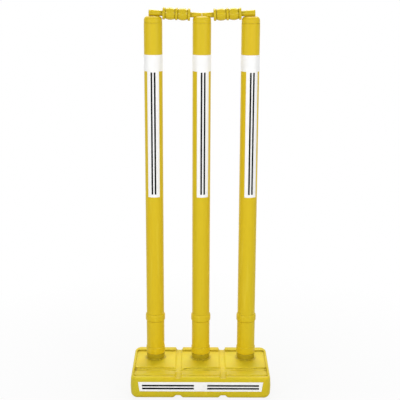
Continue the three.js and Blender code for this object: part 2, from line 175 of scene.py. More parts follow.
def mouldedPlastic(name, yellows, streak, grain, roughness, peel, hollowShadeDepth):
    # polyethylene: colour that varies slowly, a satin skin and a fine orange peel;
    # a small streak draws the pattern out along Z, and the last argument is how dark the shade painted into
    # a closed hollow gets
    material, tree, shader = startMaterial(name)
    blotch = objectNoise(tree, (1, 1, streak), plastic["blotchScale"], 3)
    fine = objectNoise(tree, (1, 1, streak * 0.5), plastic["fineScale"], 4, 0.6)
    tint = blendColors(tree, spread(tree, blotch, 0, 1), linear(yellows["green"]), linear(yellows["warm"]))
    body = blendColors(tree, spread(tree, fine, *plastic["mainShare"]), tint, linear(yellows["main"]))
    rubbed = objectNoise(tree, (1, 1, streak), grain, 5, 0.65)
    paleness = spread(tree, rubbed, 0, plastic["rubbedShare"], *plastic["rubbedFrom"])
    skinColor = blendColors(tree, paleness, body, linear(yellows["pale"]))
    # painted shade: the colour darkens where ambient occlusion finds a crease, hollow or gap between parts
    hollowOcclusion = addNode(tree, "ShaderNodeAmbientOcclusion", {"Distance": paintedHollowShade["reach"]},
                   samples=paintedHollowShade["samples"], only_local=True)
    paintedShade = spread(tree, hollowOcclusion.outputs["AO"], hollowShadeDepth, 0, paintedHollowShade["closed"], paintedHollowShade["open"])
    color = blendColors(tree, paintedShade, skinColor, linear(paintedHollowShade["color"]))
    tree.links.new(color, shader.inputs["Base Color"])
    tree.links.new(spread(tree, rubbed, *roughness), shader.inputs["Roughness"])
    waves = addBump(tree, blotch, plastic["waveDepth"], plastic["waveStrength"])
    peelNoise = objectNoise(tree, (1, 1, 1), plastic["peelScale"], 3)
    tree.links.new(addBump(tree, peelNoise, plastic["peelDepth"], peel, waves), shader.inputs["Normal"])
    shader.inputs["IOR"].default_value = plastic["ior"]
    shader.inputs["Specular IOR Level"].default_value = plastic["specular"]
    return material


def paintBossShadows(material):
    # painted shadow: the walls of the three bosses, under the feet of the stumps, are painted darker than
    # the rest of the base
    tree = material.node_tree
    shader = tree.nodes["Principled BSDF"]
    place = addNode(tree, "ShaderNodeTexCoord")
    at = addNode(tree, "ShaderNodeSeparateXYZ")
    tree.links.new(place.outputs["Object"], at.inputs[0])
    across = mathNode(tree, "ABSOLUTE", at.outputs["X"])
    outer = mathNode(tree, "ABSOLUTE", mathNode(tree, "SUBTRACT", across, wicket["pitch"] * mm))
    near = mathNode(tree, "MINIMUM", across, outer)
    deep = mathNode(tree, "SUBTRACT", at.outputs["Y"], wicket["rowY"] * mm)
    reach = mathNode(tree, "SQRT", mathNode(tree, "ADD", mathNode(tree, "MULTIPLY", near, near),
                                            mathNode(tree, "MULTIPLY", deep, deep)))
    ring = spread(tree, reach, bossPaintedShadow["dark"], 0, bossPaintedShadow["inside"] * mm, bossPaintedShadow["outside"] * mm)
    foot, full = ((wicket["panelZ"] + rise) * mm for rise in bossPaintedShadow["fadeIn"])
    raised = spread(tree, at.outputs["Z"], 0, 1, foot, full)
    plain = shader.inputs["Base Color"].links[0].from_socket
    # the painted shadow is mixed into the base colour
    dark = blendColors(tree, mathNode(tree, "MULTIPLY", ring, raised), plain, linear(bossPaintedShadow["color"]))
    tree.links.new(dark, shader.inputs["Base Color"])


def printedFilm(name, color, roughness, gloss):
    material, tree, shader = startMaterial(name)
    shader.inputs["Specular IOR Level"].default_value = gloss
    plain = linear(color)
    shade = tuple(c * film["cloudShade"] for c in plain[:3]) + (1,)
    cloud = objectNoise(tree, (1, 1, 1), film["cloudScale"], 3)
    tint = blendColors(tree, spread(tree, cloud, 0, film["cloudShare"]), plain, shade)
    grain = addBump(tree, objectNoise(tree, (1, 1, 1), film["grainScale"], 2), film["grainDepth"],
                    film["grainStrength"])
    link(tree, [
        (tint, shader.inputs["Base Color"]),
        (spread(tree, cloud, *roughness), shader.inputs["Roughness"]),
        (grain, shader.inputs["Normal"]),
    ])
    return material


basePlastic = mouldedPlastic("basePlastic", baseYellow, streak=1, grain=48, roughness=(0.38, 0.5),
                             peel=0.5, hollowShadeDepth=0.9)
paintBossShadows(basePlastic)
stumpPlastic = mouldedPlastic("stumpPlastic", stumpYellow, streak=0.06, grain=130, roughness=(0.36, 0.46),
                              peel=0.35, hollowShadeDepth=0.55)
bailPlastic = mouldedPlastic("bailPlastic", bailYellow, streak=1, grain=60, roughness=(0.16, 0.26),
                             peel=0.4, hollowShadeDepth=0.6)
whiteFilm = printedFilm("whiteFilm", (253, 253, 252), roughness=(0.35, 0.45), gloss=0.5)
darkInk = printedFilm("darkInk", (7, 8, 13), roughness=(0.4, 0.5), gloss=0.1)
print("materials made")


# Meshes
def meshObject(name, mesh):
    piece = bpy.data.objects.new(name, mesh)
    bpy.context.scene.collection.objects.link(piece)
    return piece


def bakeModifiers(piece):
    # the evaluated shape becomes a plain mesh
    bpy.context.view_layer.update()
    shape = bpy.data.meshes.new_from_object(piece.evaluated_get(bpy.context.evaluated_depsgraph_get()))
    shape.name = piece.name
    piece.modifiers.clear()
    piece.data = shape
    return piece


def faceOutward(mesh):
    work = bmesh.new()
    work.from_mesh(mesh)
    bmesh.ops.remove_doubles(work, verts=work.verts, dist=weldDistance)
    bmesh.ops.recalc_face_normals(work, faces=work.faces)
    work.to_mesh(mesh)
    work.free()


def turningTree():
    # turns the polyline of its input about Z, with a slow ripple in the radius
    tree = bpy.data.node_groups.new("turnedPiece", "GeometryNodeTree")
    face = tree.interface
    face.new_socket("Profile", in_out="INPUT", socket_type="NodeSocketGeometry")
    for name, kind in (("Steps", "NodeSocketInt"), ("Ripple", "NodeSocketFloat"),
                       ("Ripple Scale", "NodeSocketFloat"), ("Seed", "NodeSocketFloat"),
                       ("Sharp Angle", "NodeSocketFloat"), ("Finish", "NodeSocketMaterial")):
        face.new_socket(name, in_out="INPUT", socket_type=kind)
    face.new_socket("Piece", in_out="OUTPUT", socket_type="NodeSocketGeometry")
    given = addNode(tree, "NodeGroupInput").outputs
    result = addNode(tree, "NodeGroupOutput")

    size = addNode(tree, "GeometryNodeAttributeDomainSize", component="MESH")
    grid = addNode(tree, "GeometryNodeMeshGrid", {"Size X": 1, "Size Y": 1})
    position = addNode(tree, "GeometryNodeInputPosition")
    onGrid = addNode(tree, "ShaderNodeSeparateXYZ")
    link(tree, [
        (given["Profile"], size.inputs["Geometry"]),
        (size.outputs["Point Count"], grid.inputs["Vertices X"]),
        (mathNode(tree, "ADD", given["Steps"], 1), grid.inputs["Vertices Y"]),
        (position.outputs[0], onGrid.inputs[0]),
    ])
    along = mathNode(tree, "ADD", onGrid.outputs["X"], 0.5)
    last = mathNode(tree, "SUBTRACT", size.outputs["Point Count"], 1)
    index = mathNode(tree, "ROUND", mathNode(tree, "MULTIPLY", along, last))
    angle = mathNode(tree, "MULTIPLY", mathNode(tree, "ADD", onGrid.outputs["Y"], 0.5), 2 * math.pi)
    sample = addNode(tree, "GeometryNodeSampleIndex", data_type="FLOAT_VECTOR", domain="POINT")
    where = addNode(tree, "GeometryNodeInputPosition")
    point = addNode(tree, "ShaderNodeSeparateXYZ")
    link(tree, [
        (given["Profile"], sample.inputs["Geometry"]),
        (where.outputs[0], sample.inputs["Value"]),
        (index, sample.inputs["Index"]),
        (sample.outputs["Value"], point.inputs[0]),
    ])
    cosine = mathNode(tree, "COSINE", angle)
    sine = mathNode(tree, "SINE", angle)
    radius, height = point.outputs["X"], point.outputs["Z"]

    spot = addNode(tree, "ShaderNodeCombineXYZ")
    link(tree, [
        (mathNode(tree, "MULTIPLY", cosine, 0.5), spot.inputs["X"]),
        (mathNode(tree, "MULTIPLY", sine, 0.5), spot.inputs["Y"]),
        (mathNode(tree, "MULTIPLY", height, given["Ripple Scale"]), spot.inputs["Z"]),
    ])
    noise = addNode(tree, "ShaderNodeTexNoise", {"Scale": 1.0, "Detail": 2.0}, noise_dimensions="4D")
    link(tree, [(spot.outputs[0], noise.inputs["Vector"]), (given["Seed"], noise.inputs["W"])])
    centred = mathNode(tree, "SUBTRACT", noise.outputs["Fac"], 0.5)
    swing = mathNode(tree, "MULTIPLY", centred, given["Ripple"])
    offPole = mathNode(tree, "GREATER_THAN", radius, 1e-5)  # a point on the axis stays there
    rippled = mathNode(tree, "ADD", radius, mathNode(tree, "MULTIPLY", swing, offPole))

    place = addNode(tree, "ShaderNodeCombineXYZ")
    setPlace = addNode(tree, "GeometryNodeSetPosition")
    weld = addNode(tree, "GeometryNodeMergeByDistance", {"Distance": weldDistance})
    edgeAngle = addNode(tree, "GeometryNodeInputMeshEdgeAngle")
    sharp = mathNode(tree, "GREATER_THAN", edgeAngle.outputs["Unsigned Angle"], given["Sharp Angle"])
    smooth = addNode(tree, "GeometryNodeSetShadeSmooth", {"Shade Smooth": True}, domain="FACE")
    creased = addNode(tree, "GeometryNodeSetShadeSmooth", {"Shade Smooth": False}, domain="EDGE")
    real = addNode(tree, "GeometryNodeRealizeInstances")
    finish = addNode(tree, "GeometryNodeSetMaterial")
    link(tree, [
        (mathNode(tree, "MULTIPLY", rippled, cosine), place.inputs["X"]),
        (mathNode(tree, "MULTIPLY", rippled, sine), place.inputs["Y"]),
        (height, place.inputs["Z"]),
        (grid.outputs["Mesh"], setPlace.inputs["Geometry"]),
        (place.outputs[0], setPlace.inputs["Position"]),
        (setPlace.outputs[0], weld.inputs["Geometry"]),
        (weld.outputs[0], smooth.inputs["Geometry"]),
        (smooth.outputs[0], creased.inputs["Geometry"]),
        (sharp, creased.inputs["Selection"]),
        (creased.outputs[0], real.inputs["Geometry"]),
        (real.outputs[0], finish.inputs["Geometry"]),
        (given["Finish"], finish.inputs["Material"]),
        (finish.outputs[0], result.inputs[0]),
    ])
    return tree


turning = turningTree()


def softened(corners, arcSteps=6, longest=None):
    # a polyline from [radius, height, rounding] corners, with an arc at each rounding
    points = []
    for i, corner in enumerate(corners):
        here = Vector(corner[:2])
        rounding = corner[2] if len(corner) > 2 else 0
        if not rounding or i in (0, len(corners) - 1):
            points.append(here)
            continue
        back = Vector(corners[i - 1][:2]) - here
        ahead = Vector(corners[i + 1][:2]) - here
        half = back.angle(ahead) / 2
        reach = min(rounding / math.tan(half), back.length * 0.49, ahead.length * 0.49)
        radius = reach * math.tan(half)
        centre = here + (back.normalized() + ahead.normalized()).normalized() * radius / math.sin(half)
        first = here + back.normalized() * reach - centre
        final = here + ahead.normalized() * reach - centre
        for step in range(arcSteps + 1):
            turn = step / arcSteps
            swung = first.lerp(final, turn)
            points.append(centre + swung.normalized() * radius)
    if longest:
        fine = [points[0]]
        for start, end in zip(points, points[1:]):
            cuts = max(1, math.ceil((end - start).length / longest))
            fine += [start.lerp(end, (cut + 1) / cuts) for cut in range(cuts)]
        points = fine
    return points


def turnPiece(name, points, finish, steps=96, ripple=0.0, rippleScale=12.0, seed=0.0):
    profile = bpy.data.meshes.new(name)
    profile.from_pydata([(p[0] * mm, 0, p[1] * mm) for p in points],
                        [(i, i + 1) for i in range(len(points) - 1)], [])
    piece = meshObject(name, profile)
    modifier = piece.modifiers.new("turned", "NODES")
    modifier.node_group = turning
    values = {"Steps": steps, "Ripple": ripple * mm, "Ripple Scale": rippleScale, "Seed": float(seed),
              "Sharp Angle": sharpAngle, "Finish": finish}
    for item in turning.interface.items_tree:
        if item.item_type == "SOCKET" and item.in_out == "INPUT" and item.name in values:
            modifier[item.identifier] = values[item.name]
    bakeModifiers(piece)
    faceOutward(piece.data)
    return piece


def moveMesh(piece, place, turn=0.0):
    # the place goes into the mesh, and the object stays at the origin
    shift = Matrix.Translation(Vector(place) * mm)
    piece.data.transform(shift @ Matrix.Rotation(math.radians(turn), 4, "Z"))
    piece.data.update()
    return piece


def cutFrom(piece, cutters):
    for cutter in cutters:
        modifier = piece.modifiers.new("cut", "BOOLEAN")
        modifier.operation = "DIFFERENCE"
        modifier.solver = "EXACT"
        modifier.object = cutter
    return bakeModifiers(piece)


def dropPiece(piece):
    mesh = piece.data
    bpy.data.objects.remove(piece)
    bpy.data.meshes.remove(mesh)


def finishPiece(piece, body, slot, *nodes):
    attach(piece, body)
    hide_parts(*nodes)


# Base: a field that is negative inside the shell is sampled on a grid, and its surface is meshed
base = {
    "width": 286, "depth": 160, "height": 45.2, "corner": 14, "bulge": 1.2, "middleY": 0.225,
    "lowerEdge": (8, 4, 8), "upperEdge": (8, 4, 6, 8),
    "sideRim": 6, "backRim": 17, "recessCorner": 5, "recessFillet": 1.4,
    "panelLength": 83.5, "ledgeLength": 44, "ledgeDrop": 2.3, "ledgeTilt": 5,
    "stepGroove": 0.9, "stepSpread": 1.6, "stepWidth": 1.9,
    "foldY": -28.5, "foldDepth": 3, "foldReach": 5,
    "creaseY": -60, "creaseDepth": 2.6, "creaseReach": 4,
    "lipZ": 42, "lipSlope": 0.33, "lipDepth": 9,
    "channelX": 46, "channelWidth": 13.5, "channelZ": 38.2, "channelRadius": 4,
    "channelEndZ": 43.6, "channelRunout": 26,
    "footChannelWidth": 12.4, "footChannelHeight": 4.5, "footChannelRadius": 3, "footChannelSoft": 6,
    "bossRadius": 19.3, "bossDraft": 0.9, "bossFlare": 0.9,
    "socketRadius": 15.8, "socketFloor": 3,
    "plugX": 46, "plugZ": 21.35, "plugSeatRadius": 10.8, "plugSeatDepth": 2.9,
    "plugBoreRadius": 8, "plugBoreDepth": 10.9, "wall": 3,
    "recessBlend": 1.6, "channelBlend": 2.2, "wallBlend": 0.6, "cavityRound": 1, "bossRound": 1.0,
    "socketRound": 0.8, "plugSeatRound": 0.4, "plugSeatBlend": 0.8, "plugBoreBlend": 0.5,
    "grid": 1.25, "keptShare": 0.49,  # of the triangles, after the flat places have given theirs up
}
# How the moulding wanders from straight lines: height or reach, length of the wave, start
wander = {
    "rim": (0.15, 27, 0.8), "rimAcross": 31,
    "panel": (0.22, 21, 1.3), "panelAcross": (17, 0.6), "panelFine": (0.1, 8.3, 12), "ledgeShare": 0.6,
    "step": (1.1, 19, 0.4), "pinch": (7, -41, 9),
    "fold": (1.2, 14.5, 0.9), "foldLong": (0.6, 31, 0), "foldDepth": (0.25, 11, 0), "foldLeast": 0.85,
    "crease": (0.4, 17, 0), "channel": (0.5, 24, 0), "grooveBehindStep": 2,
}


def smoothMax(a, b, radius):
    # the larger of two fields, blended where they are nearly the same
    share = np.clip(0.5 + 0.5 * (a - b) / radius, 0, 1)
    return b + (a - b) * share + radius * share * (1 - share)


def smoothMin(a, b, radius):
    return -smoothMax(-a, -b, radius)


def roundBoth(a, b, radius):
    # inside both, with a round inner corner
    outside = np.hypot(np.maximum(a + radius, 0), np.maximum(b + radius, 0))
    return np.minimum(np.maximum(a, b), -radius) + outside


def planDistance(x, y, halfX, halfY, corner):
    # distance to a rectangle with round corners, and how much of it runs along x
    overX = np.abs(x) - (halfX - corner)
    overY = np.abs(y) - (halfY - corner)
    outX, outY = np.maximum(overX, 0), np.maximum(overY, 0)
    distance = np.hypot(outX, outY) + np.minimum(np.maximum(overX, overY), 0) - corner
    return distance, outX ** 2 / (outX ** 2 + outY ** 2 + 1e-9)


def ellipseEdge(side, rise, drawSide, drawRise):
    # inside both, with an edge rounded to a quarter ellipse
    u = np.maximum((side + drawSide) / drawSide, 0)
    v = np.maximum((rise + drawRise) / drawRise, 0)
    unit = np.hypot(u, v)
    near = np.hypot(drawSide * u, drawRise * v) * (1 - 1 / np.maximum(unit, 1e-6))
    deep = np.maximum(side, rise)
    return np.where(unit > 1e-3, near, deep)


def wave(at, height, length, start):
    return height * np.sin(at / length + start)


def slabField(x, y, z):
    # the outside of the base, drawn in towards both ends of its height
    side, alongX = planDistance(x, y, base["width"] / 2, base["depth"] / 2, base["corner"])
    side = side + base["bulge"] * np.abs(2 * z / base["height"] - 1) * alongX
    lowX, lowY, lowZ = base["lowerEdge"]
    topX, topY, topZ, topFront = base["upperEdge"]
    topY = np.where(y < 0, topFront, topY)
    rim = z - base["height"] + wander["rim"][0] + wave(x, *wander["rim"]) * np.cos(y / wander["rimAcross"])
    upper = ellipseEdge(side, rim, topX * alongX + topY * (1 - alongX), topZ)
    lower = ellipseEdge(side, -z, lowX * alongX + lowY * (1 - alongX), lowZ)
    return np.maximum(upper, lower)


def panelWave(x, y):
    length, start = wander["panelAcross"]
    height, along, across = wander["panelFine"]
    return wave(x, *wander["panel"]) * np.cos(y / length + start) + height * np.sin(x / along + y / across)


def beyond(ahead):
    # goes from 0 to 1 over the width of a step
    return np.clip(ahead / base["stepWidth"] + 0.5, 0, 1)


def notch(ahead, reach):
    # a short drop that runs out again over the reach in front of it
    return beyond(ahead) * np.exp(-np.maximum(ahead, 0) / reach)


def recessField(x, y, z):
    # a panel behind, a step, and a rising ledge in front with a fold and a crease across it
    back = base["depth"] / 2 - base["backRim"]
    front = back - base["panelLength"]
    end = front - base["ledgeLength"]
    uneven = panelWave(x, y)
    panel = wicket["panelZ"] + uneven
    tilt = math.tan(math.radians(base["ledgeTilt"]))
    ledge = wicket["panelZ"] - base["ledgeDrop"] + (front - y) * tilt + wander["ledgeShare"] * uneven
    pinchDepth, pinchX, pinchWidth = wander["pinch"]
    pinch = pinchDepth * np.exp(-((x - pinchX) / pinchWidth) ** 2)
    stepAt = front + wave(x, *wander["step"]) - pinch
    fromGroove = (y - stepAt + wander["grooveBehindStep"]) / base["stepSpread"]
    ledge = ledge - base["stepGroove"] * np.exp(-fromGroove ** 2)
    foldAt = base["foldY"] + wave(x, *wander["fold"]) + wave(x, *wander["foldLong"])
    foldDepth = base["foldDepth"] * (wander["foldLeast"] + wave(x, *wander["foldDepth"]))
    ledge = ledge - foldDepth * notch(foldAt - y, base["foldReach"])
    creaseAt = base["creaseY"] + wave(x, *wander["crease"])
    ledge = ledge - base["creaseDepth"] * notch(creaseAt - y, base["creaseReach"])
    floor = panel + (ledge - panel) * beyond(stepAt - y)
    lip = base["lipZ"] + (end - y) * base["lipSlope"]
    floor = floor + (lip - floor) * beyond(end - y)
    edge = end - base["lipDepth"]
    halfX, halfY = base["width"] / 2 - base["sideRim"], (back - edge) / 2
    side, _ = planDistance(x, y - (back + edge) / 2, halfX, halfY, base["recessCorner"])
    return roundBoth(side, floor - z, base["recessFillet"])


def channelField(x, y, z, cx):
    # a channel across the top, with a floor that climbs to the front rim
    runout = np.clip((base["channelRunout"] - base["depth"] / 2 - y) / base["channelRunout"], 0, 1.2)
    floor = base["channelZ"] + (base["channelEndZ"] - base["channelZ"]) * runout ** 2
    side = np.abs(x - cx + wave(y, *wander["channel"])) - base["channelWidth"] / 2
    return roundBoth(side, floor - z, base["channelRadius"])


def lobesField(x, y, z):
    y = y - base["middleY"]
    field = smoothMax(slabField(x, y, z), -recessField(x, y, z), base["recessBlend"])
    for cx in (-base["channelX"], base["channelX"]):
        field = smoothMax(field, -channelField(x, y, z, cx), base["channelBlend"])
        aside = np.abs(x - cx) - base["footChannelWidth"] / 2
        under = roundBoth(aside, z - base["footChannelHeight"], base["footChannelRadius"])
        field = smoothMax(field, -under, base["footChannelSoft"])
    return field


def shellField(points):
    # the lobes with their bosses, hollowed out, with the sockets and the filler hole cut in
    x, y, z = points.T
    field = lobesField(x, y, z)
    cavity = field + base["wall"]
    back = base["depth"] / 2 + base["middleY"]
    aroundPlug = np.hypot(x - base["plugX"], z - base["plugZ"])
    wallDepth = base["plugBoreDepth"] + base["wall"]
    rounded = base["cavityRound"]
    holeWall = roundBoth(aroundPlug - base["plugSeatRadius"] - base["wall"], back - wallDepth - y, rounded)
    cavity = smoothMax(cavity, -holeWall, rounded)
    bossHeight = wicket["bossTopZ"] - wicket["panelZ"]
    bossRoot = wicket["panelZ"] - 2  # inside the panel
    for cx in stumpX.values():
        around = np.hypot(x - cx, y - wicket["rowY"])
        drawnIn = base["bossDraft"] * np.clip((wicket["bossTopZ"] - z) / bossHeight, 0, 1)
        boss = roundBoth(around - base["bossRadius"] + drawnIn, z - wicket["bossTopZ"], base["bossRound"])
        field = smoothMin(field, np.maximum(boss, bossRoot - z), base["bossFlare"])
        cavity = smoothMax(cavity, -(around - base["socketRadius"] - base["wall"]), rounded)
    field = smoothMax(field, -cavity, base["wallBlend"])
    for cx in stumpX.values():
        around = np.hypot(x - cx, y - wicket["rowY"])
        socket = roundBoth(around - base["socketRadius"], base["socketFloor"] - z, base["socketRound"])
        field = smoothMax(field, -socket, base["socketRound"])
    seatFloor = back - base["plugSeatDepth"]
    seat = roundBoth(aroundPlug - base["plugSeatRadius"], seatFloor - y, base["plugSeatRound"])
    boreEnd = back - wallDepth - 4  # past the wall, in the hollow
    bore = np.maximum(aroundPlug - base["plugBoreRadius"], boreEnd - y)
    field = smoothMax(field, -seat, base["plugSeatBlend"])
    return smoothMax(field, -bore, base["plugBoreBlend"])


def surfaceOf(fieldAt, low, high, step):
    # one vertex in each grid cell that the surface crosses, one quad round each crossed grid edge
    counts = [int(math.ceil((h - l) / step)) + 1 for l, h in zip(low, high)]
    axes = [l + step * np.arange(n) for l, n in zip(low, counts)]
    nodes = np.stack(np.meshgrid(*axes, indexing="ij"), -1)
    value = fieldAt(nodes.reshape(-1, 3)).reshape(counts)
    cells = tuple(n - 1 for n in counts)
    total = np.zeros(cells + (3,))
    hits = np.zeros(cells)
    corners = [(i, j, k) for i in (0, 1) for j in (0, 1) for k in (0, 1)]
    for start in corners:
        for axis in range(3):
            if start[axis]:
                continue
            end = tuple(1 if a == axis else s for a, s in enumerate(start))
            first = value[tuple(slice(s, s + c) for s, c in zip(start, cells))]
            second = value[tuple(slice(s, s + c) for s, c in zip(end, cells))]
            crossed = (first < 0) != (second < 0)
            share = first[crossed] / (first[crossed] - second[crossed])
            spot = np.tile(np.array(start, float), (share.size, 1))
            spot[:, axis] += share
            total[crossed] += spot
            hits[crossed] += 1
    used = hits > 0
    index = np.full(cells, -1)
    index[used] = np.arange(used.sum())
    vertices = np.array(low) + step * (np.argwhere(used) + total[used] / hits[used][:, None])
    quads = []
    for axis in range(3):
        others = [a for a in range(3) if a != axis]
        inner = [slice(1, c) for c in cells]
        inner[axis] = slice(0, cells[axis])
        ahead = [slice(1, c) for c in cells]
        ahead[axis] = slice(1, cells[axis] + 1)
        first, second = value[tuple(inner)] < 0, value[tuple(ahead)] < 0
        at = np.argwhere(first != second)
        solidFirst = first[first != second]
        at[:, others] += 1
        ring = []
        for da, db in ((-1, -1), (0, -1), (0, 0), (-1, 0)):
            cell = at.copy()
            cell[:, others[0]] += da
            cell[:, others[1]] += db
            ring.append(index[tuple(cell.T)])
        ring = np.stack(ring, 1)
        turnBack = solidFirst if axis == 1 else ~solidFirst
        ring[turnBack] = ring[turnBack][:, ::-1]
        quads.append(ring)
    return vertices, np.concatenate(quads)


def settleOn(fieldAt, vertices, rounds=3, small=0.05, leastSlope=0.1, longest=0.5):
    # moves each vertex along the slope of the field until it lies on the surface
    for _ in range(rounds):
        here = fieldAt(vertices)
        slope = np.stack([
            (fieldAt(vertices + small * axis) - fieldAt(vertices - small * axis)) / (2 * small)
            for axis in np.eye(3)
        ], 1)
        step = here[:, None] * slope / np.maximum((slope ** 2).sum(1), leastSlope)[:, None]
        vertices = vertices - np.clip(step, -longest, longest)
    return vertices


def buildBase():
    # the grid reaches a little past the shell on all sides
    low = (-base["width"] / 2 - 2, -base["depth"] / 2 - 2, -2)
    high = (base["width"] / 2 + 2, base["depth"] / 2 + 2.5, wicket["bossTopZ"] + 2)
    vertices, quads = surfaceOf(shellField, low, high, base["grid"])
    vertices = settleOn(shellField, vertices)
    mesh = bpy.data.meshes.new("baseMoulding")
    mesh.from_pydata((vertices * mm).tolist(), [], quads.tolist())
    mesh.polygons.foreach_set("use_smooth", [True] * len(mesh.polygons))
    mesh.materials.append(basePlastic)
    piece = meshObject("baseMoulding", mesh)
    piece.modifiers.new("fewerFlatFaces", "DECIMATE").ratio = base["keptShare"]
    bakeModifiers(piece)
    finishPiece(piece, "base", "base_plastic", "base_shell")
    return piece


baseMoulding = buildBase()
print("base meshed:", len(baseMoulding.data.polygons), "faces")


# Feet and tubes
stump = {
    "spigotRadius": 15.5, "spigotLength": 40, "spigotChamfer": 3,
    "footRadius": 18.7, "footLength": 72.5, "footWall": 3,
    "ankleRadius": 19.8, "ankleHeight": 15, "ankleDraft": 1.1, "ankleBowl": 5, "ankleRound": 1.8,
    "neckRadius": 15.95, "neckLength": 26,
    "tubeRadius": 18.25, "tubeWall": 2,
    "collarRadius": 20.4, "collarHeight": 15.5, "collarLip": 2.5, "collarFade": 5,
    "capRadius": 18, "capHeight": 12.7, "capRound": 7.5, "capWall": 2.6, "capPlug": 18,
    "ripple": 0.16, "rippleScale": 30, "seedStep": 7.3,  # slow unevenness of the tube, other in each tube
    "rowStep": 6,  # between two rings of vertices
}
footZ = wicket["bossTopZ"] + wicket["seatGap"]
seamZ = footZ + stump["footLength"]
tubeZ = seamZ + wicket["seatGap"]
capZ = wicket["topZ"] - stump["capHeight"]


def quarterArc(start, end, steps=8):
    # a quarter ellipse that leaves its start upright
    width, rise = start[0] - end[0], end[1] - start[1]
    return [(end[0] + width * math.cos(a), start[1] + rise * math.sin(a))
            for a in (math.pi / 2 * i / steps for i in range(steps + 1))]


def footProfile():
    # corners are [radius, height, rounding], from the end of the spigot round to its hollow
    s = stump
    spigotEnd = footZ - s["spigotLength"]
    spigotBore = s["spigotRadius"] - s["footWall"]
    bore = s["neckRadius"] - s["footWall"]
    ankleTop = footZ + s["ankleHeight"]
    neckTop = seamZ + s["neckLength"]
    lower = softened([
        (0, spigotEnd), (s["spigotRadius"] - s["spigotChamfer"], spigotEnd, 1),
        (s["spigotRadius"], spigotEnd + s["spigotChamfer"], 1), (s["spigotRadius"], footZ, 0.4),
        (s["ankleRadius"] - s["ankleDraft"], footZ),
    ])
    bowlTop = (s["ankleRadius"], footZ + s["ankleBowl"])
    bowl = quarterArc(bowlTop, (s["ankleRadius"] - s["ankleDraft"], footZ))[::-1]
    ankle = quarterArc((s["ankleRadius"], ankleTop - s["ankleRound"]), (s["footRadius"], ankleTop))
    chamfer = s["footWall"] / 2
    upper = softened([
        (s["footRadius"], ankleTop + 1), (s["footRadius"], seamZ, 0.5), (s["neckRadius"], seamZ, 0.3),
        (s["neckRadius"], neckTop - chamfer, 1), (s["neckRadius"] - chamfer, neckTop, 0.6),
        (bore, neckTop, 0.3), (bore, footZ, 1), (spigotBore, footZ - s["footWall"], 1),
        (spigotBore, spigotEnd + s["footWall"], 1), (0, spigotEnd + s["footWall"]),
    ])
    return lower + bowl[1:] + ankle + upper


def tubeProfile():
    # the collar's lip, its bulge and the long tube, then down the bore
    s = stump
    bore = s["tubeRadius"] - s["tubeWall"]
    top = capZ - wicket["seatGap"]
    collarTop = tubeZ + s["collarHeight"]
    bulge = quarterArc((s["collarRadius"], collarTop - s["collarFade"]), (s["tubeRadius"], collarTop), 14)
    lip = quarterArc((s["collarRadius"], tubeZ + s["collarLip"]), (s["footRadius"], tubeZ + 0.3), 8)
    long = softened([bulge[-1], (s["tubeRadius"], top - 1)], longest=s["rowStep"])
    end = softened([
        (s["tubeRadius"], top - 1), (s["tubeRadius"], top, 0.2), (bore, top, 0.2), (bore, top - 2),
    ])
    foot = softened([(bore, tubeZ + 2), (bore, tubeZ, 0.3), (s["footRadius"] - 0.3, tubeZ)])
    return [(bore, tubeZ + 2)] + foot + lip[::-1] + bulge[1:] + long[1:] + end[1:] + [(bore, tubeZ + 2)]


for seed, (place, x) in enumerate(stumpX.items()):
    body = "stump_" + place
    foot = turnPiece("footMoulding." + place, footProfile(), stumpPlastic)
    moveMesh(foot, (x, wicket["rowY"], 0))
    finishPiece(foot, body, "stump_plastic", "foot_" + place)
    tube = turnPiece("tubeMoulding." + place, tubeProfile(), stumpPlastic, ripple=stump["ripple"],
                     rippleScale=stump["rippleScale"], seed=seed * stump["seedStep"])
    moveMesh(tube, (x, wicket["rowY"], 0))
    finishPiece(tube, body, "stump_plastic", "tube_" + place)
print("feet and tubes turned")


# Bails, each drawn from its outer end towards the middle stump
bail = {
    "length": 104.2, "middleGap": 0.4,
    "outerRadius": 6.3, "outerTaper": 0.8, "innerRadius": 5.3, "innerTaper": 0.3, "innerLength": 22.5,
    "flangeRadius": 12.1, "flangeWidth": 4.8, "flangeGap": 0.9,
    "barrelRadius": 12.1, "barrelEnd": 10.1, "ringRadius": 12.1, "ringWidth": 4.2, "ringGroove": 0.9,
    "outerSeatDepth": 0.1, "innerSeatDepth": 3.5,
    "spigotRound": 0.8, "flangeOuterRound": 1.3, "flangeInnerRound": 1.7, "ringRound": 1.2,
    "dip": 0.3,  # from the end of a barrel down to the groove beside it
    "swellPower": 0.9,  # under 1 the barrel is fuller than a sine
}
outerSeat = bail["middleGap"] / 2 + bail["length"] - wicket["pitch"]
outerLength = outerSeat + stump["capRadius"] + bail["flangeGap"]
innerSeat = stump["capRadius"] / 2
outerSeatRadius = bail["outerRadius"] - bail["outerTaper"] * outerSeat / outerLength
outerAxisZ = wicket["topZ"] - bail["outerSeatDepth"] + wicket["seatGap"] + outerSeatRadius
innerAxisZ = wicket["topZ"] - bail["innerSeatDepth"] + wicket["seatGap"] + bail["innerRadius"]
bailTilt = math.atan2(outerAxisZ - innerAxisZ, wicket["pitch"] - innerSeat)
bailEndX = bail["middleGap"] / 2 + bail["length"]
bailEndZ = outerAxisZ + (bailEndX - wicket["pitch"]) * math.tan(bailTilt)


def layAsBail(piece, side):
    # from upright to lying between two stumps, with its inner end lower
    lay = Matrix.Rotation(-side * (math.pi / 2 + bailTilt), 4, "Y")
    piece.data.transform(Matrix.Translation(Vector((side * bailEndX, wicket["rowY"], bailEndZ)) * mm) @ lay)
    piece.data.update()
    return piece


def barrelCurve(start, end, steps=12):
    # the outline of one barrel, widest half way
    swell = bail["barrelRadius"] - bail["barrelEnd"]
    power = bail["swellPower"]
    return [(bail["barrelEnd"] + swell * math.sin(math.pi * i / steps) ** power,
             start + (end - start) * i / steps) for i in range(steps + 1)]


